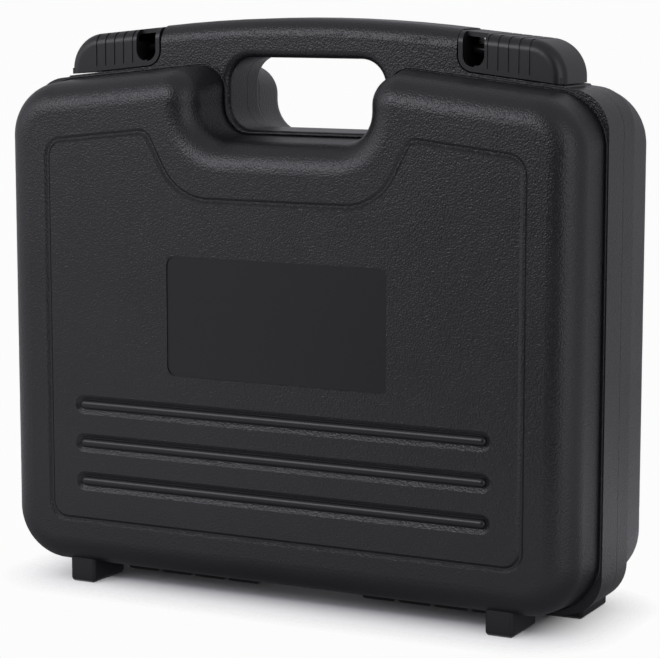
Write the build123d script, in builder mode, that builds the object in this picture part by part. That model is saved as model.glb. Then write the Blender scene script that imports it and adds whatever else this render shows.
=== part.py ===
"""Hard plastic tool case with a carrying handle, two sliding latches and a hinged lid.

Millimetres, +Z up. The case stands on its feet at Z = 0, centred on X = 0 and on its own depth.
The lid faces -Y. Both halves meet at the parting plane, and the lid turns about two hinge pins
that lie along X under that plane.
"""

from build123d import *
from math import cos, radians, sin, tan
import os

os.makedirs("parts", exist_ok=True)

# ---------------------------------------------------------------- driving dimensions

# the whole case
case_depth = 117.5
lid_depth = 60.0
foot_height = 11.0
parting_gap = 0.3
wall = 2.5

# the band: the rim of each half beside the parting plane
band_half_width = 181.0
band_drop = 2.2
band_corner_r = 23.0
lid_band_depth = 23.0
base_band_depth = 16.5

# the pillow: the soft box that stands out of each band, with a bead round its foot
pillow_ledge = 2.2
pillow_corner_r = 30.0
pillow_draft = 2.0
lid_edge_r = 17.0
base_edge_r = 14.0
bead_gap = 0.5
bead_width = 1.0
bead_height = 0.8
bead_edge_r = 0.4

# the shoulders beside the handle fall away outwards at one slope
shoulder_x = 100.0
shoulder_z = 300.3
shoulder_angle = 6.4
shoulder_step = 1.7

# the notch in the pillow under the handle, at the band and at the face
notch_depth = 34.8
notch_margin = 2.5
notch_flare = 4.0
notch_drop = 3.0
notch_corner_r = 17.0
notch_corner_growth = 2.0
lobe_r = 14.0
lobe_growth = 4.5

# the handle and its window
handle_half_width = 92.8
handle_rise = 30.9
handle_crown = 5.0
handle_thickness = 22.2
handle_root_r = 10.0
handle_top_edge_r = 10.0
window_half_width = 49.0
window_corner_r = 15.0
window_edge_r = 4.5

# the grooved panel on each face
panel_margin = 28.8
panel_bottom_z = 38.0
panel_top_margin = 32.2
panel_corner_r = 12.0
panel_dip_half_width = 60.9
panel_dip_margin = 33.0
panel_dip_r = 31.0
panel_brow_half_width = 81.1
panel_brow_r = 8.5
groove_width = 4.0
groove_depth = 1.2
groove_taper = 50.0

# the bare label recess
label_half_width = 68.8
label_bottom_z = 129.7
label_height = 68.6
label_corner_r = 6.0
label_depth = 0.6

# three ribs, each a round rod lying in a channel
rib_lowest_z = 63.4
rib_pitch = 22.6
rib_count = 3
rib_margin = 22.0
rib_r = 2.9
rib_proud = 0.7
rib_channel_width = 11.4
rib_channel_depth = 1.6
rib_channel_taper = 58.0
rib_channel_end_gap = 2.8
rib_pad_depth = 6.5

# the hinges
hinge_drop = 4.3
hinge_pin_r = 1.5
hinge_pin_fit = 0.06
hinge_pin_recess = 0.5
knuckle_r = 3.6
knuckle_count = 5
knuckle_gap = 0.6
hinge_inner_x = 34.0
hinge_foot_gap = 2.5
hinge_root = 0.5
pad_height = 7.1
pad_setback = 6.0
pad_gap = 2.5
pad_count = 4
pad_clear_r = 6.8
pad_edge_r = 2.0

# the feet
front_foot_width = 17.0
front_foot_end_gap = 39.5
front_foot_setback = 8.0
front_foot_parting_gap = 18.0
rear_foot_width = 25.0
rear_foot_end_gap = 20.0
rear_foot_setback = 17.0
rear_foot_parting_gap = 1.0
foot_edge_r = 2.5
foot_peg_r = 3.5
foot_peg_fit = 0.05
foot_peg_reach = 1.5
foot_peg_margin = 9.0
foot_peg_clearance = 1.5

# the latches
latch_handle_gap = 1.0
latch_end_gap = 26.0
latch_step = 0.8
latch_fall = 6.1
latch_end_r = 21.0
latch_root_r = 9.0
latch_edge_r = 6.5
latch_wall = 2.6
latch_gap = 0.8
latch_proud = 0.3
latch_travel = 13.0
latch_lip_height = 3.4
latch_lip_reach = 3.4
latch_lip_clearance = 0.6
latch_clearance = 0.4
slot_width = 12.8
slot_floor = 2.6
slot_over = 1.0
slot_depth = 6.5
slot_corner_r = 6.3
grip_pitch = 6.1
grip_slot_gap = 1.6
grip_end_gap = 18.5
grip_width = 1.4
grip_depth = 0.5
grip_floor = 2.5

# what stands on the shoulders inside each latch
plinth_height = 0.8
post_end_gap = 1.8
post_height = 14.5
tongue_length = 11.3
tongue_height = 14.0
rod_r = 2.5
rod_fit = 0.05
rod_latch_clearance = 0.3
rod_height = 11.0
rod_setback = 5.5
rod_hold = 5.0
rod_boss_r = 5.0
rail_sink = 2.0

# the locating rim inside the base
rim_height = 3.0
rim_thickness = 1.4
rim_clearance = 0.3
rim_root = 4.0

# ---------------------------------------------------------------- derived places

# the ribs stand out of the front face, and the case is centred on its whole depth
front_y = (rib_proud - case_depth) / 2
back_y = (rib_proud + case_depth) / 2
parting_y = front_y + lid_depth
lid_face_y = parting_y - lid_band_depth
base_face_y = parting_y + base_band_depth
lid_seam_y = parting_y - parting_gap / 2
base_seam_y = parting_y + parting_gap / 2

pillow_half_width = band_half_width - pillow_ledge
panel_half_width = pillow_half_width - panel_margin
rib_half_length = panel_half_width - rib_margin
front_foot_inner_x = band_half_width - front_foot_end_gap - front_foot_width
rear_foot_inner_x = band_half_width - rear_foot_end_gap - rear_foot_width
hinge_outer_x = front_foot_inner_x - hinge_foot_gap
notch_half_width = window_half_width + notch_margin

band_bottom_z = foot_height - band_drop
hinge_axis_z = band_bottom_z - hinge_drop
notch_z = shoulder_z - notch_depth
window_bottom_z = notch_z + notch_margin
handle_top_z = shoulder_z + handle_rise
handle_end_z = handle_top_z - handle_crown
window_top_z = handle_top_z - handle_thickness
panel_shoulder_z = shoulder_z - panel_top_margin
panel_dip_z = notch_z - panel_dip_margin
label_middle_z = label_bottom_z + label_height / 2

slope = tan(radians(shoulder_angle))
plinth_rise = shoulder_step + plinth_height
rail_rise = plinth_rise + latch_gap
slide_dir = Vector(cos(radians(shoulder_angle)), 0, -sin(radians(shoulder_angle)))

latch_inner_x = handle_half_width + latch_handle_gap
latch_outer_x = band_half_width - latch_end_gap
latch_inner_top_z = handle_end_z - latch_step
latch_front_y = lid_face_y - latch_proud
latch_back_y = base_face_y + latch_proud
latch_inside_front_y = latch_front_y + latch_wall
latch_inside_back_y = latch_back_y - latch_wall
latch_inside_x = latch_inner_x + latch_wall
slot_end_x = latch_inside_x + slot_width
grip_first_x = slot_end_x + grip_slot_gap
grip_count = int((latch_outer_x - grip_end_gap - grip_first_x) / grip_pitch) + 1
post_x = latch_inside_x + latch_travel * slide_dir.X + latch_clearance
post_end_x = latch_outer_x - latch_end_r - post_end_gap
rod_y = parting_y - rod_setback


def upright(y):
    """The plane at depth y on which X runs right and Z runs up; it faces the front."""
    return Plane.XZ.offset(-y)


def shoulder_top(x, rise=0.0):
    """Height of the pillow's shoulder at x, raised by rise."""
    return shoulder_z - (abs(x) - shoulder_x) * slope + rise


def rail_top(x, rise=0.0):
    """Height of the line along which a latch's foot slides, raised by rise."""
    return shoulder_top(x, rail_rise + rise)


# ---------------------------------------------------------------- outlines


def mirrored_outline(points, radii):
    """A closed outline about X = 0, from its right half's points, bottom first, and its radii."""
    left = [(-x, z) for x, z in reversed(points)]
    with BuildLine() as outline:
        FilletPolyline(*points, *left, radius=radii + radii[::-1], close=True)
    return outline.edges()


def pillow_outline(share, inset=0.0):
    """The pillow: a box with falling shoulders, notched under the handle.

    share is 0 at the band and 1 at the face, where draft has drawn the outline in.
    """
    draft = pillow_draft * share + inset
    half_width = pillow_half_width - draft
    notch_half = notch_half_width + notch_flare * share + inset
    corner_r = pillow_corner_r + pillow_draft * share - inset
    lobe = lobe_r + lobe_growth * share - inset
    notch_r = notch_corner_r + notch_corner_growth * share + inset
    points = [
        (half_width, foot_height + draft),
        (half_width, shoulder_top(half_width, -draft)),
        (notch_half, shoulder_top(notch_half, -draft)),
        (notch_half, notch_z - notch_drop * share - inset),
    ]
    return mirrored_outline(points, [corner_r, corner_r, lobe, notch_r])


def band_outline():
    """The band and the handle above it, without the window."""
    step_x = latch_outer_x + latch_gap
    right = [
        (handle_half_width, handle_end_z),
        (handle_half_width, shoulder_top(handle_half_width, plinth_rise)),
        (step_x - plinth_height, shoulder_top(step_x - plinth_height, plinth_rise)),
        (step_x, shoulder_top(step_x, shoulder_step)),
        (band_half_width, shoulder_top(band_half_width, shoulder_step)),
        (band_half_width, band_bottom_z),
    ]
    left = [(-x, z) for x, z in reversed(right)]
    edge_r = plinth_height / 4
    radii = [handle_root_r, edge_r, edge_r, band_corner_r, band_corner_r]
    with BuildLine() as outline:
        FilletPolyline(*right, *left, radius=radii + radii[::-1])
        ThreePointArc(right[0], (0, handle_top_z), left[-1])
    return outline.edges()


def window_outline(grow=0.0):
    """The handle's window, larger by grow on every side."""
    half = window_half_width + grow
    points = [(half, window_bottom_z - grow), (half, window_top_z + grow)]
    return mirrored_outline(points, [window_corner_r + grow] * 2)


def handle_room_outline():
    """The hollow of the handle and of its two posts, before the window is taken out of it."""
    side = handle_half_width - wall
    inner = window_half_width + wall
    with BuildLine() as outline:
        Polyline(
            (-side, handle_end_z - wall),
            (-side, shoulder_top(side, wall)),
            (-inner, shoulder_top(inner, wall)),
            (inner, shoulder_top(inner, wall)),
            (side, shoulder_top(side, wall)),
            (side, handle_end_z - wall),
        )
        ThreePointArc(
            (side, handle_end_z - wall), (0, handle_top_z - wall), (-side, handle_end_z - wall)
        )
    return outline.edges()


def panel_outline():
    """The panel on each face: the shoulders again, dipping round the handle."""
    side_z = panel_shoulder_z - (panel_half_width - shoulder_x) * slope
    brow_z = panel_shoulder_z - (panel_brow_half_width - shoulder_x) * slope
    points = [
        (panel_half_width, panel_bottom_z),
        (panel_half_width, side_z),
        (panel_brow_half_width, brow_z),
        (panel_dip_half_width, panel_dip_z),
    ]
    return mirrored_outline(points, [panel_corner_r, panel_corner_r, panel_brow_r, panel_dip_r])


def latch_top(x):
    """Height of the right latch's top at x."""
    return latch_inner_top_z - (x - latch_inner_x) * latch_fall / (latch_outer_x - latch_inner_x)


def latch_outline(inset=0.0):
    """The right latch seen from the front, smaller by inset except at its foot."""
    inner_x = latch_inner_x + inset
    outer_x = latch_outer_x - inset
    inner_top = (inner_x, latch_top(inner_x) - inset)
    inner_foot = (inner_x, rail_top(inner_x))
    outer_foot = (outer_x, rail_top(outer_x))
    outer_top = (outer_x, latch_top(outer_x) - inset)
    with BuildLine() as outline:
        FilletPolyline(inner_top, inner_foot, outer_foot, radius=latch_root_r - inset)
        FilletPolyline(outer_foot, outer_top, inner_top, radius=latch_end_r - inset)
    return outline.edges()


def latch_room_outline(inner_x):
    """The hollow of the right latch from inner_x outwards, open below."""
    outer_x = latch_outer_x - latch_wall
    inner_top = (inner_x, latch_top(inner_x) - latch_wall)
    outer_foot = (outer_x, rail_top(outer_x, -latch_wall))
    outer_top = (outer_x, latch_top(outer_x) - latch_wall)
    with BuildLine() as outline:
        Polyline(inner_top, (inner_x, rail_top(inner_x, -latch_wall)), outer_foot)
        FilletPolyline(outer_foot, outer_top, inner_top, radius=latch_end_r - latch_wall)
    return outline.edges()


def rail_block_outline(inner_x, outer_x, low, high):
    """A block on the right shoulder, from low to high above the line a latch slides on."""
    with BuildLine() as outline:
        Polyline(
            (inner_x, rail_top(inner_x, low)),
            (outer_x, rail_top(outer_x, low)),
            (outer_x, rail_top(outer_x, high)),
            (inner_x, rail_top(inner_x, high)),
            close=True,
        )
    return outline.edges()


# ---------------------------------------------------------------- the two halves, still plain


def outermost(shape, outward):
    """The face furthest to the front, where outward is -1, or to the back, where it is 1."""
    return shape.faces().sort_by(Axis.Y)[0 if outward < 0 else -1]


def half_outside(face_y, outer_y, edge_r, outward):
    """Band, handle and pillow of one half, solid; outward is -1 for the lid, 1 for the base."""
    seam_y = parting_y + outward * parting_gap / 2
    with BuildPart() as outside:
        with BuildSketch(upright(seam_y)):
            make_face(band_outline())
            make_face(window_outline(), mode=Mode.SUBTRACT)
        extrude(amount=-outward * abs(face_y - seam_y))
        fillet(outermost(outside, outward).inner_wires()[0].edges(), radius=window_edge_r)
        face_edges = outermost(outside, outward).outer_wire().edges()
        fillet(face_edges.sort_by(Axis.Z)[-1], radius=handle_top_edge_r)
        with BuildSketch(upright(face_y - outward * window_edge_r)):
            make_face(pillow_outline(0, -bead_gap - bead_width))
            make_face(pillow_outline(0, -bead_gap), mode=Mode.SUBTRACT)
        extrude(amount=-outward * (window_edge_r + bead_height))
        fillet(outermost(outside, outward).edges(), radius=bead_edge_r)
        with BuildSketch(upright(face_y - outward * window_edge_r)):
            make_face(pillow_outline(0))
        extrude(amount=-outward * window_edge_r)
        with BuildSketch(upright(face_y)):
            make_face(pillow_outline(0))
        with BuildSketch(upright(outer_y)):
            make_face(pillow_outline(1))
        loft(ruled=True)
        fillet(outermost(outside, outward).edges(), radius=edge_r)
    return outside.part


def half_inside(face_y, outer_y, edge_r, outward):
    """The hollow of one half: the room behind the pillow, and the separate hollow of the handle."""
    seam_y = parting_y + outward * parting_gap / 2
    depth = abs(face_y - seam_y)
    with BuildPart() as handle_room:
        with BuildSketch(upright(seam_y)):
            make_face(handle_room_outline())
            make_face(window_outline(wall), mode=Mode.SUBTRACT)
        extrude(amount=-outward * (depth - wall))
        top_edge = outermost(handle_room, outward).edges().sort_by(Axis.Z)[-1]
        fillet(top_edge, radius=handle_top_edge_r - wall)
    with BuildPart() as room:
        with BuildSketch(upright(face_y)):
            make_face(pillow_outline(0, wall))
        with BuildSketch(upright(outer_y - outward * wall)):
            make_face(pillow_outline(1, wall))
        loft(ruled=True)
        fillet(outermost(room, outward).edges(), radius=edge_r - wall)
        with BuildSketch(upright(seam_y)):
            make_face(pillow_outline(0, wall))
        extrude(amount=-outward * depth)
        add(handle_room.part)
    return room.part


def panel_groove(face_y, outward):
    """What is cut from one face round its panel: a groove whose walls slope."""
    with BuildPart() as groove:
        with BuildSketch(upright(face_y)):
            make_face(panel_outline())
        extrude(amount=outward * groove_depth, taper=groove_taper)
        with BuildSketch(upright(face_y)):
            make_face(panel_outline())
            offset(amount=-groove_width, mode=Mode.REPLACE)
        extrude(amount=outward * groove_depth, taper=-groove_taper, mode=Mode.SUBTRACT)
    return groove.part


lid_outside = half_outside(lid_face_y, front_y, lid_edge_r, -1)
base_outside = half_outside(base_face_y, back_y, base_edge_r, 1)


# ---------------------------------------------------------------- hinges

knuckle_length = (hinge_outer_x - hinge_inner_x + knuckle_gap) / knuckle_count - knuckle_gap
pad_length = (hinge_outer_x - hinge_inner_x + pad_gap) / pad_count - pad_gap


def hinge_planes(first, step, length, gap):
    """Upright planes across X where every step-th piece of the right hinge starts."""
    count = round((hinge_outer_x - hinge_inner_x + gap) / (length + gap))
    return [Plane.YZ.offset(hinge_inner_x + i * (length + gap)) for i in range(first, count, step)]


def knuckles(first, outward):
    """Every second knuckle of the right hinge, each with its arm up into the band."""
    side = Align.MAX if outward < 0 else Align.MIN
    with BuildPart() as row:
        with BuildSketch(*hinge_planes(first, 2, knuckle_length, knuckle_gap)):
            with Locations((parting_y, hinge_axis_z)):
                Circle(knuckle_r)
            with Locations((parting_y + outward * parting_gap / 2, hinge_axis_z)):
                arm_height = band_bottom_z - hinge_axis_z + hinge_root
                Rectangle(knuckle_r - parting_gap / 2, arm_height, align=(side, Align.MIN))
        extrude(amount=knuckle_length)
    return row.part


def pin_round(radius, recess):
    """A round bar along the right hinge's axis, short of each end by recess."""
    with BuildPart() as bar:
        with BuildSketch(Plane.YZ.offset(hinge_inner_x + recess)):
            with Locations((parting_y, hinge_axis_z)):
                Circle(radius)
        extrude(amount=hinge_outer_x - hinge_inner_x - 2 * recess)
    return bar.part


with BuildPart() as hinge_pads:
    with BuildSketch(*hinge_planes(0, 1, pad_length, pad_gap)):
        with Locations((lid_face_y + pad_setback, band_bottom_z - pad_height)):
            pad_depth = lid_band_depth - pad_clear_r - pad_setback
            Rectangle(pad_depth, pad_height + hinge_root, align=(Align.MIN, Align.MIN))
    extrude(amount=pad_length)
    fillet(hinge_pads.faces().sort_by(Axis.Z)[:pad_count].edges(), radius=pad_edge_r)

pin_bore = pin_round(hinge_pin_r + hinge_pin_fit, 0)


# ---------------------------------------------------------------- feet

front_foot_middle_x = front_foot_inner_x + front_foot_width / 2
rear_foot_middle_x = rear_foot_inner_x + rear_foot_width / 2
front_foot_reach = (front_y + front_foot_setback, parting_y - front_foot_parting_gap)
rear_foot_reach = (parting_y + rear_foot_parting_gap, back_y - rear_foot_setback)
peg_top_z = foot_height + pillow_draft + wall + foot_peg_reach

# both pegs of each foot go through the pillow, one of them beside the band
front_pegs_y = (
    front_foot_reach[0] + foot_peg_margin,
    lid_face_y - foot_peg_clearance - foot_peg_r,
)
rear_pegs_y = (
    base_face_y + foot_peg_clearance + foot_peg_r,
    rear_foot_reach[1] - foot_peg_margin,
)


def foot_pegs(middle_x, places_y, radius, top_z):
    """The two pegs of a right foot, or with a larger radius the holes for them."""
    with BuildPart() as pegs:
        with BuildSketch(Plane.XY.offset(foot_height / 2)):
            with Locations(*[(middle_x, y) for y in places_y]):
                Circle(radius)
        extrude(amount=top_z - foot_height / 2)
    return pegs.part


def right_foot(middle_x, width, reach, outside):
    """A block that stands on the floor over its reach in Y and fits under its shell."""
    with BuildPart() as foot:
        with BuildSketch(Plane.XY):
            with Locations((middle_x, reach[0])):
                Rectangle(width, reach[1] - reach[0], align=(Align.CENTER, Align.MIN))
        extrude(amount=2 * foot_height)
        fillet(foot.edges().filter_by(Axis.Z), radius=foot_edge_r)
        fillet(foot.faces().sort_by(Axis.Z)[0].edges(), radius=foot_edge_r)
        add(outside, mode=Mode.SUBTRACT)
    return foot.part


hole_r = foot_peg_r + foot_peg_fit
hole_top_z = peg_top_z + foot_peg_reach
front_foot_holes = foot_pegs(front_foot_middle_x, front_pegs_y, hole_r, hole_top_z)
rear_foot_holes = foot_pegs(rear_foot_middle_x, rear_pegs_y, hole_r, hole_top_z)


# ---------------------------------------------------------------- what the latches hold on to

rod_start_x = handle_half_width - rod_hold
rod_end_x = post_x + rod_hold


def rod_round(radius, start_x, end_x):
    """A round bar on the right latch rod's axis between two places along X."""
    start = (start_x, rod_y, rail_top(start_x, rod_height))
    with BuildPart() as bar:
        with BuildSketch(Plane(origin=start, x_dir=(0, 1, 0), z_dir=slide_dir)):
            Circle(radius)
        extrude(amount=(end_x - start_x) / slide_dir.X)
    return bar.part


with BuildPart() as latch_post:
    ledge = latch_lip_height + latch_lip_clearance
    with BuildSketch(upright(lid_seam_y)):
        make_face(rail_block_outline(post_x, post_end_x, -rail_sink, post_height))
    stem_front_y = latch_inside_front_y + latch_lip_reach + latch_clearance
    extrude(amount=lid_seam_y - stem_front_y)
    with BuildSketch(upright(lid_seam_y)):
        make_face(rail_block_outline(post_x, post_end_x, ledge, post_height))
    extrude(amount=lid_seam_y - latch_inside_front_y - latch_clearance)
    boss_end_x = handle_half_width - wall / 2
    add(rod_round(rod_boss_r, rod_start_x - wall, boss_end_x))

with BuildPart() as hook_tongue:
    with BuildSketch(upright(base_seam_y)):
        tongue_end_x = latch_inner_x + tongue_length
        root_x = handle_half_width - wall / 2
        make_face(rail_block_outline(root_x, tongue_end_x, -rail_sink, tongue_height))
    extrude(amount=base_seam_y - latch_inside_back_y + latch_clearance)

rod_bore = rod_round(rod_r + rod_fit, rod_start_x, rod_end_x)


# ---------------------------------------------------------------- front shell: the lid

rib_heights = [rib_lowest_z + i * rib_pitch for i in range(rib_count)]
channel_length = 2 * (rib_half_length + rib_channel_end_gap)

with BuildPart() as rib:
    with BuildSketch(Plane.XZ):
        SlotOverall(2 * rib_half_length, 2 * rib_r)
        below = (Align.CENTER, Align.MAX)
        Rectangle(2 * rib_half_length, rib_r, align=below, mode=Mode.SUBTRACT)
    revolve(axis=Axis.X)

with BuildPart() as front_shell:
    add(lid_outside)
    add(half_inside(lid_face_y, front_y, lid_edge_r, -1), mode=Mode.SUBTRACT)

    # the panel's groove and the label recess
    add(panel_groove(front_y, -1), mode=Mode.SUBTRACT)
    with BuildSketch(upright(front_y)):
        with Locations((0, label_middle_z)):
            RectangleRounded(2 * label_half_width, label_height, label_corner_r)
    extrude(amount=-label_depth, mode=Mode.SUBTRACT)

    # the ribs, with the wall thickened behind their channels
    with BuildSketch(upright(front_y + wall / 2)):
        with Locations(*[(0, z) for z in rib_heights]):
            SlotOverall(channel_length + 2 * wall, rib_channel_width + 2 * wall)
    extrude(amount=wall / 2 - rib_pad_depth)
    with BuildSketch(upright(front_y)):
        with Locations(*[(0, z) for z in rib_heights]):
            SlotOverall(channel_length, rib_channel_width)
    extrude(amount=-rib_channel_depth, taper=rib_channel_taper, mode=Mode.SUBTRACT)
    with Locations(*[(0, front_y + rib_r - rib_proud, z) for z in rib_heights]):
        add(rib.part)

    # hinge, latch seats and foot holes, on both sides
    add(knuckles(0, -1))
    add(hinge_pads.part)
    add(latch_post.part)
    mirror(knuckles(0, -1), about=Plane.YZ)
    mirror(hinge_pads.part, about=Plane.YZ)
    mirror(latch_post.part, about=Plane.YZ)
    for cutter in (pin_bore, rod_bore, front_foot_holes):
        add(cutter, mode=Mode.SUBTRACT)
        mirror(cutter, about=Plane.YZ, mode=Mode.SUBTRACT)
front_shell.part.label = "front_shell"
export_step(front_shell.part, "parts/front_shell.step")


# ---------------------------------------------------------------- rear shell: the base

with BuildPart() as rear_shell:
    add(base_outside)
    add(half_inside(base_face_y, back_y, base_edge_r, 1), mode=Mode.SUBTRACT)
    add(panel_groove(back_y, 1), mode=Mode.SUBTRACT)

    # the locating rim, which stands on a thicker root inside the wall
    rim_inset = wall + rim_clearance
    with BuildSketch(upright(base_seam_y)):
        make_face(pillow_outline(0, rim_inset))
        make_face(pillow_outline(0, rim_inset + rim_thickness), mode=Mode.SUBTRACT)
    extrude(amount=parting_gap + rim_height)
    with BuildSketch(upright(base_seam_y)):
        make_face(pillow_outline(0, wall / 2))
        make_face(pillow_outline(0, rim_inset + rim_thickness), mode=Mode.SUBTRACT)
    extrude(amount=-rim_root)

    # hinge, hook tongues and foot holes, on both sides
    add(knuckles(1, 1))
    add(hook_tongue.part)
    mirror(knuckles(1, 1), about=Plane.YZ)
    mirror(hook_tongue.part, about=Plane.YZ)
    for cutter in (pin_bore, rear_foot_holes):
        add(cutter, mode=Mode.SUBTRACT)
        mirror(cutter, about=Plane.YZ, mode=Mode.SUBTRACT)
rear_shell.part.label = "rear_shell"
export_step(rear_shell.part, "parts/rear_shell.step")


# ---------------------------------------------------------------- latches


def off_the_rail(edge):
    """Whether an edge of the right latch lies on its top or its outer end."""
    middle = edge.center()
    past_the_root = middle.X > latch_inner_x + latch_root_r
    return past_the_root and middle.Z > rail_top(middle.X, latch_gap / 2)


def latch_block(inset):
    """The right latch as a solid block with rounded edges, smaller by inset."""
    with BuildPart() as block:
        with BuildSketch(upright(latch_front_y + inset)):
            make_face(latch_outline(inset))
        extrude(amount=latch_front_y - latch_back_y + 2 * inset)
        for outward in (-1, 1):
            round_edges = outermost(block, outward).edges().filter_by(off_the_rail)
            fillet(round_edges, radius=latch_edge_r - inset)
    return block.part


with BuildPart() as latch_room:
    room_depth = latch_inside_back_y - latch_inside_front_y
    with BuildSketch(upright(latch_inside_front_y)):
        make_face(latch_room_outline(latch_inside_x))
    extrude(amount=-room_depth)
    end_wall_back_y = parting_y - latch_clearance
    with BuildSketch(upright(end_wall_back_y)):
        make_face(latch_room_outline(latch_inner_x - latch_wall))
    extrude(amount=end_wall_back_y - latch_inside_back_y)
    for outward in (-1, 1):
        round_edges = outermost(latch_room, outward).edges().filter_by(off_the_rail)
        fillet(round_edges, radius=latch_edge_r - latch_wall)

with BuildPart() as grip_grooves:
    with BuildSketch(upright(latch_front_y)):
        for i in range(grip_count):
            groove_x = grip_first_x + i * grip_pitch
            groove_height = latch_top(groove_x) - rail_top(groove_x, grip_floor)
            with Locations((groove_x, rail_top(groove_x, grip_floor))):
                Rectangle(grip_width, groove_height + grip_width, align=(Align.MIN, Align.MIN))
    extrude(amount=latch_front_y - latch_back_y)
    add(latch_block(grip_depth), mode=Mode.SUBTRACT)

with BuildPart() as right_latch:
    add(latch_block(0))
    add(latch_room.part, mode=Mode.SUBTRACT)
    add(grip_grooves.part, mode=Mode.SUBTRACT)

    # the finger slot, which opens the front and its upper edge beside the inner end wall
    floor_z = rail_top((latch_inside_x + slot_end_x) / 2, slot_floor)
    over_z = latch_inner_top_z + slot_over
    with BuildSketch(upright(latch_front_y)):
        with BuildLine():
            FilletPolyline(
                (latch_inside_x, over_z),
                (latch_inside_x, floor_z),
                (slot_end_x, floor_z),
                (slot_end_x, over_z),
                radius=slot_corner_r,
            )
            Line((latch_inside_x, over_z), (slot_end_x, over_z))
        make_face()
    extrude(amount=-slot_depth, mode=Mode.SUBTRACT)

    # the lip that runs under the post's ledge, and the hole for the rod
    with BuildSketch(upright(latch_inside_front_y - latch_wall / 2)):
        lip_end_x = latch_outer_x - latch_wall / 2
        make_face(rail_block_outline(latch_inner_x + latch_root_r, lip_end_x, 0, latch_lip_height))
    extrude(amount=-latch_lip_reach - latch_wall / 2)
    hole = rod_round(rod_r + rod_latch_clearance, rod_start_x, latch_inside_x + latch_wall)
    add(hole, mode=Mode.SUBTRACT)
right_latch.part.label = "right_latch"
export_step(right_latch.part, "parts/right_latch.step")

with BuildPart() as left_latch:
    mirror(right_latch.part, about=Plane.YZ)
left_latch.part.label = "left_latch"
export_step(left_latch.part, "parts/left_latch.step")


# ---------------------------------------------------------------- latch rods and hinge pins

with BuildPart() as right_latch_rod:
    add(rod_round(rod_r, rod_start_x, rod_end_x))
right_latch_rod.part.label = "right_latch_rod"
export_step(right_latch_rod.part, "parts/right_latch_rod.step")

with BuildPart() as left_latch_rod:
    mirror(right_latch_rod.part, about=Plane.YZ)
left_latch_rod.part.label = "left_latch_rod"
export_step(left_latch_rod.part, "parts/left_latch_rod.step")

with BuildPart() as right_hinge_pin:
    add(pin_round(hinge_pin_r, hinge_pin_recess))
right_hinge_pin.part.label = "right_hinge_pin"
export_step(right_hinge_pin.part, "parts/right_hinge_pin.step")

with BuildPart() as left_hinge_pin:
    mirror(right_hinge_pin.part, about=Plane.YZ)
left_hinge_pin.part.label = "left_hinge_pin"
export_step(left_hinge_pin.part, "parts/left_hinge_pin.step")


# ---------------------------------------------------------------- feet

with BuildPart() as front_right_foot:
    add(right_foot(front_foot_middle_x, front_foot_width, front_foot_reach, lid_outside))
    add(foot_pegs(front_foot_middle_x, front_pegs_y, foot_peg_r, peg_top_z))
front_right_foot.part.label = "front_right_foot"
export_step(front_right_foot.part, "parts/front_right_foot.step")

with BuildPart() as front_left_foot:
    mirror(front_right_foot.part, about=Plane.YZ)
front_left_foot.part.label = "front_left_foot"
export_step(front_left_foot.part, "parts/front_left_foot.step")

with BuildPart() as rear_right_foot:
    add(right_foot(rear_foot_middle_x, rear_foot_width, rear_foot_reach, base_outside))
    add(foot_pegs(rear_foot_middle_x, rear_pegs_y, foot_peg_r, peg_top_z))
rear_right_foot.part.label = "rear_right_foot"
export_step(rear_right_foot.part, "parts/rear_right_foot.step")

with BuildPart() as rear_left_foot:
    mirror(rear_right_foot.part, about=Plane.YZ)
rear_left_foot.part.label = "rear_left_foot"
export_step(rear_left_foot.part, "parts/rear_left_foot.step")
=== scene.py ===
"""The hard tool case in a white studio.

The case is moulded in black polypropylene: two grained shells, satin latches and feet, smooth
latch rods, and drawn steel pins in the hinges. Everything is in metres, in the frame of the part.
"""

import logging
from dataclasses import dataclass, field
from enum import Enum
from math import cos, pi, radians, sin

import bpy
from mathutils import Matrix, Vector

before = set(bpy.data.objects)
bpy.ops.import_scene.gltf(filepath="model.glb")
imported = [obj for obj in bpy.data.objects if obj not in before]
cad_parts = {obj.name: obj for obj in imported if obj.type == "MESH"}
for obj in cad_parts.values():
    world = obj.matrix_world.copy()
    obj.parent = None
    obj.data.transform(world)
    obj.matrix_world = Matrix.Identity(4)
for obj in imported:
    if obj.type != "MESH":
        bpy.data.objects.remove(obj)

LOG = logging.getLogger("tool_case")
MM = 0.001
# the white of the softboxes and of the tent's painted reflection, slightly cool as daylight lamps
# are
COOL_WHITE = "#f8f7ff"


def linear(code: str) -> tuple[float, float, float, float]:
    """Turns an sRGB hex colour to linear light.

    Args:
        code: the colour as "#rrggbb".

    Returns:
        Red, green, blue and an alpha of 1.
    """
    values = []
    for start in (1, 3, 5):
        share = int(code[start : start + 2], 16) / 255
        values.append(share / 12.92 if share <= 0.04045 else ((share + 0.055) / 1.055) ** 2.4)
    return (*values, 1.0)


def put(
    tree: bpy.types.NodeTree, kind: str, inputs: dict[int | str, object], **settings: object
) -> bpy.types.Node:
    """Adds a node with its settings, its values and its links.

    Args:
        tree: the node tree that gets the node.
        kind: the node's type.
        inputs: a value or an output socket for each input, by its name or number.
        **settings: the node's own settings.

    Returns:
        The new node.
    """
    node = tree.nodes.new(kind)
    for name, value in settings.items():
        setattr(node, name, value)
    for key, value in inputs.items():
        if isinstance(value, bpy.types.NodeSocket):
            tree.links.new(value, node.inputs[key])
        else:
            node.inputs[key].default_value = value
    return node


# ---------------------------------------------------------------- finishes


class Grain(Enum):
    """How a mould's steel was textured, which the plastic copies."""

    LEATHER = "etched with a fine leather grain"
    SATIN = "spark eroded to an even satin"
    POLISHED = "drawn over with fine paper"


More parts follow.
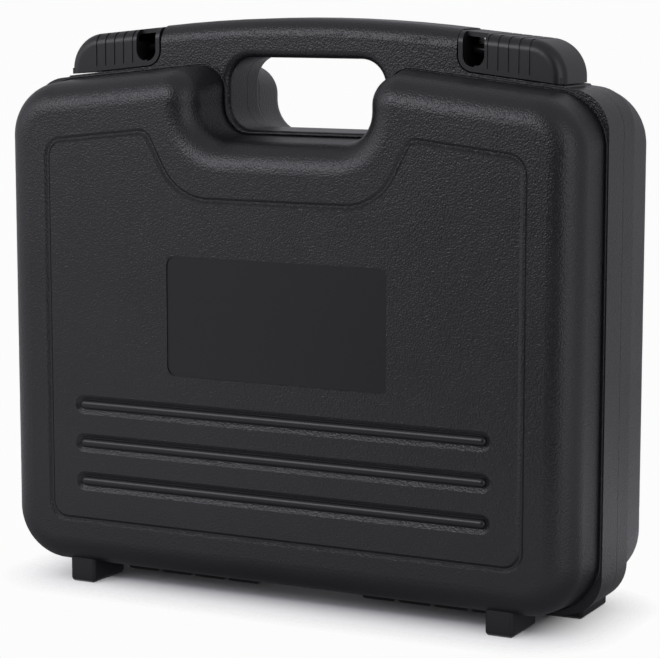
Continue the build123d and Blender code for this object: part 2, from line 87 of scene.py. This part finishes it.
@dataclass(frozen=True)
class SmoothField:
    """A box on a grained shell where the mould is smooth.

    The box is given in millimetres, in the frame of the part.
    """

    low: tuple[float, float, float]
    high: tuple[float, float, float]
    edge: float = 0.6

    def mask(self, tree: bpy.types.NodeTree, place: bpy.types.NodeSocket) -> bpy.types.NodeSocket:
        """Builds the mask of the box.

        Args:
            tree: the material's nodes.
            place: the socket of the place in metres.

        Returns:
            A socket that is 1 inside the box and 0 outside it.
        """
        middle = tuple((low + high) / 2 * MM for low, high in zip(self.low, self.high))
        half = tuple((high - low) / 2 * MM for low, high in zip(self.low, self.high))
        away = put(tree, "ShaderNodeVectorMath", {0: place, 1: middle}, operation="SUBTRACT")
        size = put(tree, "ShaderNodeVectorMath", {0: away.outputs[0]}, operation="ABSOLUTE")
        inside = put(
            tree, "ShaderNodeVectorMath", {0: half, 1: size.outputs[0]}, operation="SUBTRACT"
        )
        axes = put(tree, "ShaderNodeSeparateXYZ", {0: inside.outputs[0]}).outputs
        least = put(tree, "ShaderNodeMath", {0: axes[0], 1: axes[1]}, operation="MINIMUM")
        least = put(tree, "ShaderNodeMath", {0: least.outputs[0], 1: axes[2]}, operation="MINIMUM")
        share = put(
            tree,
            "ShaderNodeMath",
            {0: least.outputs[0], 1: self.edge * MM},
            operation="DIVIDE",
            use_clamp=True,
        )
        return share.outputs[0]


@dataclass(frozen=True)
class MouldedPolypropylene:
    """Black polypropylene, injection moulded.

    It is a dark, slightly cool grey under its sheen, never a full black, and its IOR of 1.49 gives
    a soft broad gloss. The mould's texture breaks that gloss up. Fields that end in _mm are in
    millimetres, and fields that end in _cells are in cells of the leather grain.
    """

    name: str
    grain: Grain
    colour: str = "#141417"
    pale_colour: str = "#18181b"
    smooth_colour: str = "#0b0b0e"
    roughness: float = 0.33
    smooth_roughness: float = 0.34
    ior: float = 1.49
    cell_mm: float = 1.05
    grain_height_mm: float = 0.17
    drift_mm: float = 38.0
    bend_cells: float = 2.5
    bend_share: float = 0.5
    cell_smoothness: float = 0.5
    fine_cells: float = 0.8
    satin_cells: float = 0.5
    drift_range: tuple[float, float] = (0.3, 0.7)
    gloss_drift: float = 0.02
    smooth_fields: tuple[SmoothField, ...] = ()

    def leather(
        self, tree: bpy.types.NodeTree, place: bpy.types.NodeSocket
    ) -> bpy.types.NodeSocket:
        """Builds the height of the leather grain, from low creases to high pebbles.

        The real grain is about 0.5 mm across, too fine for the picture, so it is drawn at
        cell_mm, with a finer layer over it.

        Args:
            tree: the material's nodes.
            place: the socket of the place in metres.

        Returns:
            The socket of the height.
        """
        bend = put(
            tree,
            "ShaderNodeTexNoise",
            {
                "Vector": place,
                "Scale": 1 / (self.bend_cells * self.cell_mm * MM),
                "Detail": 1.0,
            },
        )
        shift = put(
            tree,
            "ShaderNodeVectorMath",
            {0: bend.outputs["Color"], "Scale": self.bend_share * self.cell_mm * MM},
            operation="SCALE",
        )
        moved = put(tree, "ShaderNodeVectorMath", {0: place, 1: shift.outputs[0]}, operation="ADD")
        cells = put(
            tree,
            "ShaderNodeTexVoronoi",
            {
                "Vector": moved.outputs[0],
                "Scale": 1 / (self.cell_mm * MM),
                "Smoothness": self.cell_smoothness,
            },
            feature="SMOOTH_F1",
        )
        fine = put(
            tree,
            "ShaderNodeTexNoise",
            {
                "Vector": place,
                "Scale": 1 / (self.fine_cells * self.cell_mm * MM),
                "Detail": 2.0,
            },
        )
        return put(
            tree,
            "ShaderNodeMath",
            {0: cells.outputs["Distance"], 1: -1.0, 2: fine.outputs["Fac"]},
            operation="MULTIPLY_ADD",
        ).outputs[0]

    def satin(self, tree: bpy.types.NodeTree, place: bpy.types.NodeSocket) -> bpy.types.NodeSocket:
        """Builds the height of the even, fine spark-eroded texture.

        Args:
            tree: the material's nodes.
            place: the socket of the place in metres.

        Returns:
            The socket of the height.
        """
        return put(
            tree,
            "ShaderNodeTexNoise",
            {
                "Vector": place,
                "Scale": 1 / (self.satin_cells * self.cell_mm * MM),
                "Detail": 3.0,
            },
        ).outputs["Fac"]

    def material(self) -> bpy.types.Material:
        """Builds the material.

        Returns:
            The new material.
        """
        made = bpy.data.materials.new(self.name)
        made.use_nodes = True
        tree = made.node_tree
        shader = tree.nodes["Principled BSDF"]
        shader.inputs["IOR"].default_value = self.ior
        place = put(tree, "ShaderNodeTexCoord", {}).outputs["Object"]

        smooth: float | bpy.types.NodeSocket = 0.0
        for box in self.smooth_fields:
            smooth = put(
                tree, "ShaderNodeMath", {0: smooth, 1: box.mask(tree, place)}, operation="MAXIMUM"
            ).outputs[0]

        # the pigment and the gloss drift a little over a hand's breadth, as the melt flowed
        drift = put(
            tree,
            "ShaderNodeTexNoise",
            {"Vector": place, "Scale": 1 / (self.drift_mm * MM), "Detail": 3.0},
        ).outputs["Fac"]
        pigment = put(
            tree,
            "ShaderNodeMix",
            {0: drift, 6: linear(self.colour), 7: linear(self.pale_colour)},
            data_type="RGBA",
        )
        # the grain's pebbles scatter a little light, so that the smooth fields look darker
        shade = put(
            tree,
            "ShaderNodeMix",
            {0: smooth, 6: pigment.outputs[2], 7: linear(self.smooth_colour)},
            data_type="RGBA",
        )
        tree.links.new(shade.outputs[2], shader.inputs["Base Color"])
        gloss = put(
            tree,
            "ShaderNodeMapRange",
            {
                0: drift,
                1: self.drift_range[0],
                2: self.drift_range[1],
                3: self.roughness - self.gloss_drift,
                4: self.roughness + self.gloss_drift,
            },
        ).outputs[0]
        rough = put(
            tree,
            "ShaderNodeMix",
            {0: smooth, 2: gloss, 3: self.smooth_roughness},
            data_type="FLOAT",
        )
        tree.links.new(rough.outputs[0], shader.inputs["Roughness"])

        if self.grain is Grain.LEATHER:
            grained = put(
                tree, "ShaderNodeMath", {0: 1.0, 1: smooth}, operation="SUBTRACT"
            ).outputs[0]
            height = put(
                tree,
                "ShaderNodeMath",
                {0: self.leather(tree, place), 1: grained},
                operation="MULTIPLY",
            ).outputs[0]
        else:
            # a polished mould keeps a trace of the same texture
            height = self.satin(tree, place)
        bump = put(
            tree,
            "ShaderNodeBump",
            {"Strength": 1.0, "Distance": self.grain_height_mm * MM, "Height": height},
        )
        tree.links.new(bump.outputs[0], shader.inputs["Normal"])
        return made


@dataclass(frozen=True)
class DrawnSteel:
    """Bright steel wire, drawn through a die.

    The die leaves fine lines along it, so the pattern is stretched along X, the pins' axis.
    """

    name: str = "drawn_steel"
    colour: str = "#b9babd"
    roughness: float = 0.28
    dull_roughness: float = 0.4
    line_mm: float = 0.12
    line_height_mm: float = 0.004
    stretch: tuple[float, float, float] = (0.02, 1.0, 1.0)

    def material(self) -> bpy.types.Material:
        """Builds the material.

        Returns:
            The new material.
        """
        made = bpy.data.materials.new(self.name)
        made.use_nodes = True
        tree = made.node_tree
        shader = tree.nodes["Principled BSDF"]
        shader.inputs["Base Color"].default_value = linear(self.colour)
        shader.inputs["Metallic"].default_value = 1.0
        place = put(tree, "ShaderNodeTexCoord", {}).outputs["Object"]
        along = put(
            tree, "ShaderNodeVectorMath", {0: place, 1: self.stretch}, operation="MULTIPLY"
        ).outputs[0]
        lines = put(
            tree, "ShaderNodeTexNoise", {"Vector": along, "Scale": 1 / (self.line_mm * MM)}
        ).outputs["Fac"]
        rough = put(
            tree, "ShaderNodeMapRange", {0: lines, 3: self.roughness, 4: self.dull_roughness}
        )
        tree.links.new(rough.outputs[0], shader.inputs["Roughness"])
        bump = put(
            tree,
            "ShaderNodeBump",
            {"Strength": 1.0, "Distance": self.line_height_mm * MM, "Height": lines},
        )
        tree.links.new(bump.outputs[0], shader.inputs["Normal"])
        return made


# ---------------------------------------------------------------- the case


def dress(node: str, material: bpy.types.Material) -> None:
    """Gives a piece of the frame its material.

    Args:
        node: the piece's name.
        material: its new material.
    """
    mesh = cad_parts[node].data
    mesh.materials.clear()
    mesh.materials.append(material)
    LOG.info("%s is dressed in %s", node, material.name)


@dataclass
class Lid:
    """The front shell, with its label recess and its three ribs. Sizes are in millimetres."""

    front_y: float = -58.4
    label_half_width: float = 68.8
    label_bottom: float = 129.7
    label_top: float = 198.3
    rib_lowest: float = 63.4
    rib_pitch: float = 22.6
    rib_count: int = 3
    rib_half_length: float = 128.0
    rib_half_height: float = 2.9
    rib_edge: float = 0.3
    depth_reach: float = 3.0
    node: str = "front_shell"

    def smooth_fields(self) -> tuple[SmoothField, ...]:
        """Lists the label recess and the ribs, which the mould leaves smooth.

        Returns:
            One box for each.
        """
        near, far = self.front_y - self.depth_reach, self.front_y + self.depth_reach
        fields = [
            SmoothField(
                (-self.label_half_width, near, self.label_bottom),
                (self.label_half_width, far, self.label_top),
            )
        ]
        for i in range(self.rib_count):
            z = self.rib_lowest + i * self.rib_pitch
            fields.append(
                SmoothField(
                    (-self.rib_half_length, near, z - self.rib_half_height),
                    (self.rib_half_length, far, z + self.rib_half_height),
                    self.rib_edge,
                )
            )
        return tuple(fields)

    def build(self) -> None:
        """Dresses the shell."""
        finish = MouldedPolypropylene(
            "moulded_polypropylene_lid", Grain.LEATHER, smooth_fields=self.smooth_fields()
        )
        dress(self.node, finish.material())


@dataclass
class Base:
    """The rear shell, grained all over."""

    node: str = "rear_shell"

    def build(self) -> None:
        """Dresses the shell."""
        finish = MouldedPolypropylene("moulded_polypropylene_base", Grain.LEATHER)
        dress(self.node, finish.material())


@dataclass
class Latches:
    """The two sliding latches and the rods they run on."""

    latch_nodes: tuple[str, ...] = ("left_latch", "right_latch")
    rod_nodes: tuple[str, ...] = ("left_latch_rod", "right_latch_rod")

    def build(self) -> None:
        """Dresses both latches and both rods."""
        satin = MouldedPolypropylene(
            "satin_polypropylene_latch", Grain.SATIN, roughness=0.36, grain_height_mm=0.04
        ).material()
        smooth = MouldedPolypropylene(
            "smooth_polypropylene_rod", Grain.POLISHED, roughness=0.32, grain_height_mm=0.004
        ).material()
        for node in self.latch_nodes:
            dress(node, satin)
        for node in self.rod_nodes:
            dress(node, smooth)


@dataclass
class Feet:
    """The four push-in feet."""

    nodes: tuple[str, ...] = (
        "front_left_foot",
        "front_right_foot",
        "rear_left_foot",
        "rear_right_foot",
    )

    def build(self) -> None:
        """Dresses the feet."""
        satin = MouldedPolypropylene(
            "satin_polypropylene_foot", Grain.SATIN, roughness=0.44, grain_height_mm=0.03
        ).material()
        for node in self.nodes:
            dress(node, satin)


@dataclass
class Hinges:
    """The two hinge pins."""

    nodes: tuple[str, ...] = ("left_hinge_pin", "right_hinge_pin")

    def build(self) -> None:
        """Dresses the pins."""
        steel = DrawnSteel().material()
        for node in self.nodes:
            dress(node, steel)


# ---------------------------------------------------------------- the studio


@dataclass(frozen=True)
class Softbox:
    """A square lamp with a white cloth front. Sizes are in metres."""

    name: str
    place: tuple[float, float, float]
    size: tuple[float, float]
    power: float

    def hang(self, target: Vector) -> None:
        """Hangs the lamp and points it.

        Args:
            target: the point that it faces.
        """
        lamp = bpy.data.lights.new(self.name, "AREA")
        lamp.shape = "RECTANGLE"
        lamp.size, lamp.size_y = self.size
        lamp.energy = self.power
        lamp.color = linear(COOL_WHITE)[:3]
        holder = bpy.data.objects.new(self.name, lamp)
        holder.location = self.place
        holder.rotation_euler = (target - Vector(self.place)).to_track_quat("-Z", "Y").to_euler()
        bpy.context.scene.collection.objects.link(holder)


def stand(
    name: str,
    corners: list[tuple[float, float, float]],
    faces: list[tuple[int, ...]],
    material: bpy.types.Material,
) -> bpy.types.Object:
    """Makes a staged piece of the studio.

    Args:
        name: the piece's name.
        corners: its corners.
        faces: its faces, as numbers of the corners.
        material: its material.

    Returns:
        The new object.
    """
    mesh = bpy.data.meshes.new(name)
    mesh.from_pydata(corners, [], faces)
    mesh.materials.append(material)
    made = bpy.data.objects.new(name, mesh)
    bpy.context.scene.collection.objects.link(made)
    return made


@dataclass(frozen=True)
class ReflectionTent:
    """A grey glowing tent round the case, which only the gloss shows: a painted reflection of a
    studio. Sizes are in metres.

    It paints the plastic's sheen soft and dim, and it paints a black reflection round the camera,
    where the studio is dark. Each shade of its walls goes with an azimuth in degrees from the
    front, positive to the right. Its ground sheet glows nearly black under the case, as painted
    shade where no light comes.
    """

    radius: float = 2.4
    columns: int = 48
    rows: int = 12
    top_lift: float = 89.0
    floor_height: float = 0.0015
    # painted shade: the ground sheet glows nearly black under the case, where the case shades the
    # floor
    under_painted_shade: float = 0.08
    under_reach: float = 0.05
    open_reach: float = 0.2
    wall_reach: float = 0.55
    ground_level: float = 0.72
    footprint: tuple[float, float, float] = (0.35, 1.0, 1.0)
    roof_level: float = 0.5
    roof_low: float = 1.2
    roof_high: float = 1.9
    # painted reflection levels of the walls: black round the camera, bright to the right, grey
    # elsewhere
    shades: tuple[tuple[float, float], ...] = (
        (-90.0, 0.42),
        (-32.0, 0.57),
        (-20.0, 0.5),
        (-10.0, 0.03),
        (38.0, 0.03),
        (47.0, 1.0),
        (72.0, 0.85),
        (95.0, 0.42),
        (150.0, 0.38),
        (200.0, 0.46),
    )

    def reflection_glow(self) -> bpy.types.Material:
        """Builds the tent's glow, a painted reflection whose level follows the azimuth.

        Returns:
            The new material.
        """
        material = bpy.data.materials.new("painted_reflection_glow")
        material.use_nodes = True
        tree = material.node_tree
        tree.nodes.remove(tree.nodes["Principled BSDF"])
        place = put(tree, "ShaderNodeTexCoord", {}).outputs["Object"]
        turn = put(tree, "ShaderNodeTexGradient", {"Vector": place}, gradient_type="RADIAL")
        ramp = put(tree, "ShaderNodeValToRGB", {"Fac": turn.outputs["Fac"]})
        # a ramp starts with two stops, and its first one is used for the first shade
        elements = ramp.color_ramp.elements
        elements.remove(elements[1])
        for number, (azimuth, level) in enumerate(self.shades):
            # the gradient runs once round from the left side, a quarter turn before the front
            position = azimuth / 360 + 0.25
            stop = elements.new(position) if number else elements[0]
            stop.position = position
            stop.color = (level, level, level, 1.0)
        narrow = put(
            tree, "ShaderNodeVectorMath", {0: place, 1: self.footprint}, operation="MULTIPLY"
        )
        away = put(tree, "ShaderNodeVectorMath", {0: narrow.outputs[0]}, operation="LENGTH")
        # the ground sheet's painted reflection, darkened under the case as painted shade
        ground = put(
            tree,
            "ShaderNodeMapRange",
            {
                0: away.outputs["Value"],
                1: self.under_reach,
                2: self.open_reach,
                3: self.under_painted_shade,
                4: self.ground_level,
            },
        ).outputs[0]
        farness = put(
            tree,
            "ShaderNodeMapRange",
            {0: away.outputs["Value"], 1: self.open_reach, 2: self.wall_reach},
        ).outputs[0]
        walls = put(
            tree,
            "ShaderNodeMix",
            {0: farness, 2: ground, 3: ramp.outputs["Color"]},
            data_type="FLOAT",
        ).outputs[0]
        height = put(tree, "ShaderNodeSeparateXYZ", {0: place}).outputs["Z"]
        roof = put(
            tree, "ShaderNodeMapRange", {0: height, 1: self.roof_low, 2: self.roof_high}
        ).outputs[0]
        level = put(
            tree, "ShaderNodeMix", {0: roof, 2: walls, 3: self.roof_level}, data_type="FLOAT"
        ).outputs[0]
        # the sheets glow at the painted reflection's level, in the lamps' cool white
        glow = put(tree, "ShaderNodeEmission", {"Color": linear(COOL_WHITE), "Strength": level})
        tree.links.new(glow.outputs[0], tree.nodes["Material Output"].inputs["Surface"])
        return material

    def build(self) -> None:
        """Builds the glowing dome and its ground sheet of painted reflection, and hides them from
        all but the gloss.
        """
        corners = [(0.0, 0.0, self.floor_height)]
        for row in range(self.rows + 1):
            lift = radians(self.top_lift) * row / self.rows
            for column in range(self.columns):
                turn = 2 * pi * column / self.columns
                reach = self.radius * cos(lift)
                z = self.floor_height + self.radius * sin(lift)
                corners.append((reach * cos(turn), reach * sin(turn), z))
        faces = []
        for column in range(self.columns):
            after = (column + 1) % self.columns
            faces.append((0, 1 + after, 1 + column))
            for row in range(self.rows):
                low, high = 1 + row * self.columns, 1 + (row + 1) * self.columns
                faces.append((low + column, low + after, high + after, high + column))
        dome = stand("tent", corners, faces, self.reflection_glow())
        dome.visible_camera = False
        dome.visible_diffuse = False
        dome.visible_transmission = False
        dome.visible_shadow = False


@dataclass
class Studio:
    """White surroundings, a pale floor, softboxes and the tent of painted reflection. Sizes are in
    metres.

    The floor is seen whole within shadow_box, which is given by its half sizes, and it clears
    over shadow_reach beyond that box.
    """

    middle: Vector = field(default_factory=lambda: Vector((0.0, 0.0, 0.17)))
    floor_size: float = 8.0
    floor_colour: str = "#f7f6fb"
    floor_roughness: float = 0.9
    white: str = "#fcfcfc"
    ambient: float = 0.76
    shadow_box: tuple[float, float, float] = (0.14, 0.028, 1.0)
    shadow_reach: float = 0.055
    boxes: tuple[Softbox, ...] = (
        Softbox("top_softbox", (-0.7, -1.62, 1.05), (1.4, 0.75), 13.2),
        Softbox("right_softbox", (1.75, -1.0, 0.75), (0.9, 1.5), 3.0),
        Softbox("left_softbox", (-1.9, -0.9, 0.9), (1.2, 1.4), 4.0),
    )

    def seen_share(self, tree: bpy.types.NodeTree) -> bpy.types.NodeSocket:
        """Tells what is seen from what lights.

        Args:
            tree: the nodes that ask.

        Returns:
            A socket that is 1 for the camera, gloss and glass, and 0 for plain light.
        """
        path = put(tree, "ShaderNodeLightPath", {}).outputs
        seen = put(
            tree,
            "ShaderNodeMath",
            {0: path["Is Camera Ray"], 1: path["Is Glossy Ray"]},
            operation="MAXIMUM",
        )
        return put(
            tree,
            "ShaderNodeMath",
            {0: seen.outputs[0], 1: path["Is Transmission Ray"]},
            operation="MAXIMUM",
        ).outputs[0]

    def surround(self) -> None:
        """Makes the world white to the eye and a plain soft light to the case."""
        world = bpy.data.worlds.new("white_room")
        bpy.context.scene.world = world
        world.use_nodes = True
        tree = world.node_tree
        level = put(
            tree, "ShaderNodeMapRange", {0: self.seen_share(tree), 3: self.ambient, 4: 1.0}
        )
        back = tree.nodes["Background"]
        back.inputs["Color"].default_value = linear(self.white)
        tree.links.new(level.outputs[0], back.inputs["Strength"])

    def floor(self) -> None:
        """Lays a pale floor under the case.

        Beyond the case's shadow the eye looks through it to the white room, so that the opened
        lid, which hangs lower than the feet, can be seen.
        """
        material = bpy.data.materials.new("white_painted_floor")
        material.use_nodes = True
        tree = material.node_tree
        shader = tree.nodes["Principled BSDF"]
        shader.inputs["Base Color"].default_value = linear(self.floor_colour)
        shader.inputs["Roughness"].default_value = self.floor_roughness
        place = put(tree, "ShaderNodeTexCoord", {}).outputs["Object"]
        size = put(tree, "ShaderNodeVectorMath", {0: place}, operation="ABSOLUTE").outputs[0]
        past = put(
            tree, "ShaderNodeVectorMath", {0: size, 1: self.shadow_box}, operation="SUBTRACT"
        ).outputs[0]
        out = put(tree, "ShaderNodeVectorMath", {0: past, 1: (0, 0, 0)}, operation="MAXIMUM")
        away = put(tree, "ShaderNodeVectorMath", {0: out.outputs[0]}, operation="LENGTH")
        fade = put(
            tree,
            "ShaderNodeMapRange",
            {0: away.outputs["Value"], 1: 0.0, 2: self.shadow_reach},
        ).outputs[0]
        share = put(
            tree, "ShaderNodeMath", {0: fade, 1: self.seen_share(tree)}, operation="MULTIPLY"
        ).outputs[0]
        clear = put(tree, "ShaderNodeBsdfTransparent", {})
        mixed = put(
            tree, "ShaderNodeMixShader", {0: share, 1: shader.outputs[0], 2: clear.outputs[0]}
        )
        tree.links.new(mixed.outputs[0], tree.nodes["Material Output"].inputs["Surface"])
        half = self.floor_size / 2
        corners = [(-half, -half, 0.0), (half, -half, 0.0), (half, half, 0.0), (-half, half, 0.0)]
        stand("floor", corners, [(0, 1, 2, 3)], material)

    def build(self) -> None:
        """Builds the room, the floor, the tent and the lamps."""
        self.surround()
        self.floor()
        ReflectionTent().build()
        for box in self.boxes:
            box.hang(self.middle)
        LOG.info("the studio stands, with %d softboxes", len(self.boxes))


@dataclass(frozen=True)
class PhotoCamera:
    """The camera of the photograph: a long lens, right of the case and a little above it.

    Its place is in metres, and it looks down and turns left by the two angles, in degrees.
    """

    place: tuple[float, float, float] = (0.6210, -1.2173, 0.3547)
    down: float = 8.377
    turn: float = 26.831
    lens_mm: float = 130.909
    sensor_mm: float = 36.0

    def build(self) -> None:
        """Sets up the camera."""
        data = bpy.data.cameras.new("photo_camera")
        data.lens = self.lens_mm
        data.sensor_width = self.sensor_mm
        holder = bpy.data.objects.new("photo_camera", data)
        holder.location = self.place
        holder.rotation_euler = (radians(90 - self.down), 0, radians(self.turn))
        bpy.context.scene.collection.objects.link(holder)
        bpy.context.scene.camera = holder
        LOG.info("the camera stands at %s", self.place)


def main() -> None:
    """Builds the case's finishes, the studio and the camera."""
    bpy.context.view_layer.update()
    bpy.context.scene.view_settings.view_transform = "Standard"
    for assembly in (Lid(), Base(), Latches(), Feet(), Hinges(), Studio(), PhotoCamera()):
        assembly.build()


if __name__ == "__main__":
    logging.basicConfig(level=logging.INFO)
    main()
